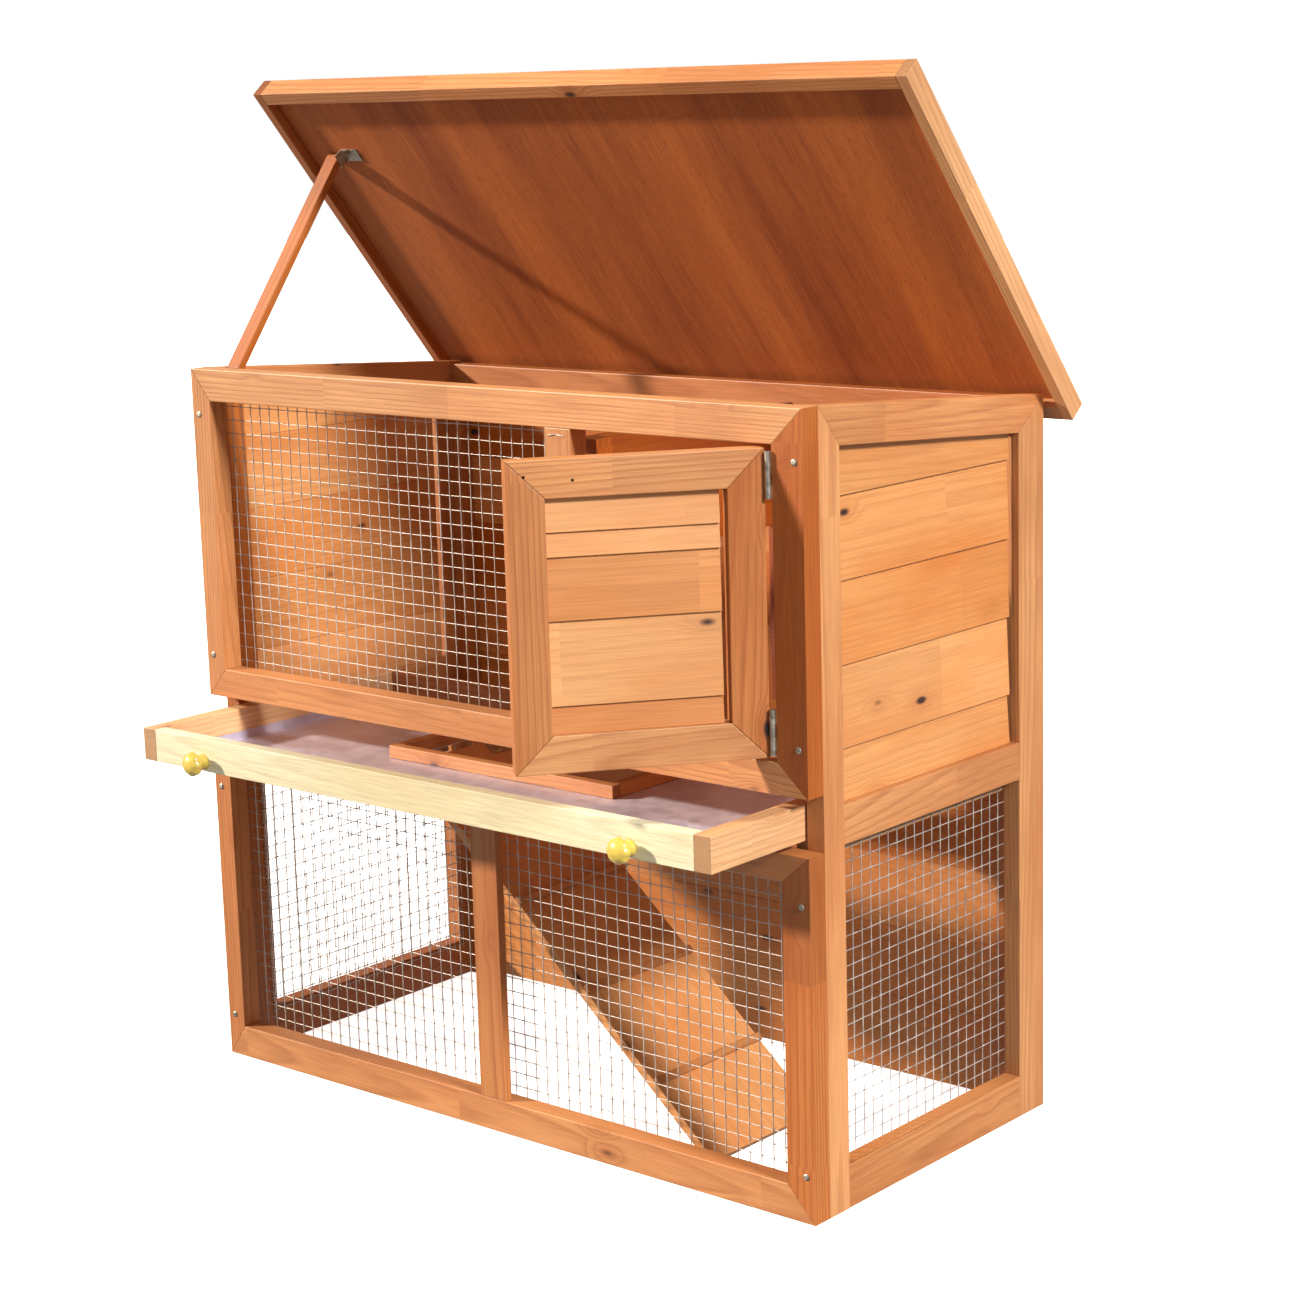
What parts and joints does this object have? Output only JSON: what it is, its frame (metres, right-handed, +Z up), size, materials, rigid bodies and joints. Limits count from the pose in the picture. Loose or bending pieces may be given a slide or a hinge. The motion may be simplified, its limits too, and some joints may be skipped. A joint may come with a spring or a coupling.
{
  "type": "rabbit hutch",
  "caption": "Two-storey wooden rabbit hutch with mesh panels, a propped lift-up roof, a nest room with a side-hung door, and a pull-out tray with a ramp to the open run below.",
  "frame": {"origin": "on the ground, at the middle of the front bottom rail's underside", "axes": "+X to the right across the front, +Y to the back, +Z up"},
  "size_m": [0.89, 0.6344, 1.0982],
  "materials": {
    "stained_frame": "honey-orange stained fir, satin",
    "stained_boards": "honey-orange stained fir boards, satin",
    "raw_pine": "unstained pine, sanded",
    "knob_wood": "turned wood, clear yellow lacquer",
    "plywood": "thin red-brown hardwood plywood",
    "roofing_felt": "mineral-surfaced bitumen felt, dark green",
    "galvanised_sheet": "galvanised sheet, dull",
    "galvanised_mesh": "hot-dip galvanised welded wire",
    "zinc_steel": "bright zinc plated"
  },
  "bodies": {
    "body": {"side_front_stile_left": "stained_frame", "side_back_stile_left": "stained_frame", "side_top_rail_left": "stained_frame", "side_mid_rail_left": "stained_frame", "side_bottom_rail_left": "stained_frame", "side_front_stile_right": "stained_frame", "side_back_stile_right": "stained_frame", "side_top_rail_right": "stained_frame", "side_mid_rail_right": "stained_frame", "side_bottom_rail_right": "stained_frame", "upper_top_rail": "stained_frame", "upper_bottom_rail": "stained_frame", "upper_left_stile": "stained_frame", "upper_right_stile": "stained_frame", "upper_mullion": "stained_frame", "lower_top_rail": "stained_frame", "lower_bottom_rail": "stained_frame", "lower_left_stile": "stained_frame", "lower_right_stile": "stained_frame", "lower_mullion": "stained_frame", "side_boards_left": "stained_boards", "side_boards_right": "stained_boards", "back_boards": "stained_boards", "back_rails": "stained_frame", "partition_boards": "stained_frame", "tray_runners": "raw_pine", "side_mesh_left": "galvanised_mesh", "side_mesh_right": "galvanised_mesh", "upper_mesh": "galvanised_mesh", "lower_mesh": "galvanised_mesh", "hinge_fixed_leaves": "zinc_steel", "hinge_pins": "zinc_steel", "frame_screws": "zinc_steel"},
    "door": {"door_top_rail": "stained_frame", "door_bottom_rail": "stained_frame", "door_hinge_stile": "stained_frame", "door_latch_stile": "stained_frame", "door_boards": "stained_boards", "door_hinge_leaves": "zinc_steel"},
    "latch": {"turn_button": "stained_frame"},
    "roof": {"roof_front_fascia": "stained_frame", "roof_back_fascia": "stained_frame", "roof_left_fascia": "stained_frame", "roof_right_fascia": "stained_frame", "roof_plywood": "plywood", "roof_felt": "roofing_felt", "roof_hinge_leaves": "zinc_steel", "prop_bracket": "zinc_steel"},
    "prop": {"prop_stick": "stained_frame"},
    "tray": {"tray_front": "raw_pine", "tray_back": "raw_pine", "tray_side_left": "raw_pine", "tray_side_right": "raw_pine", "tray_sheet": "galvanised_sheet", "tray_hole_rim": "stained_frame", "tray_knobs": "knob_wood", "ramp_hinge_fixed": "zinc_steel"},
    "ramp": {"ramp_board": "stained_boards", "ramp_cleats": "stained_frame", "ramp_hinge_leaves": "zinc_steel"}
  },
  "joints": [
    {"name": "roof_hinge", "type": "hinge", "parent": "body", "child": "roof", "pos_m": [0, 0.397, 0.747], "axis": [-1, 0, 0], "range_deg": [-46.1, 50]},
    {"name": "prop_pivot", "type": "hinge", "parent": "roof", "child": "prop", "pos_m": [-0.3895, 0.19018, 1.00941], "axis": [1, 0, 0], "range_deg": [0, 73]},
    {"name": "door_hinge", "type": "hinge", "parent": "body", "child": "door", "pos_m": [0.383, -0.015, 0.6055], "axis": [0, 0, 1], "range_deg": [-51.8, 115]},
    {"name": "turn_button_pivot", "type": "hinge", "parent": "body", "child": "latch", "pos_m": [0.12, -0.015, 0.605], "axis": [0, 1, 0], "range_deg": [0, 90]},
    {"name": "tray_slide", "type": "slide", "parent": "body", "child": "tray", "axis": [0, 1, 0], "range_m": [-0.02, 0.116]},
    {"name": "ramp_hinge", "type": "hinge", "parent": "tray", "child": "ramp", "pos_m": [-0.162, 0.129, 0.373], "axis": [0, -1, 0], "range_deg": [0, 30]}
  ]
}
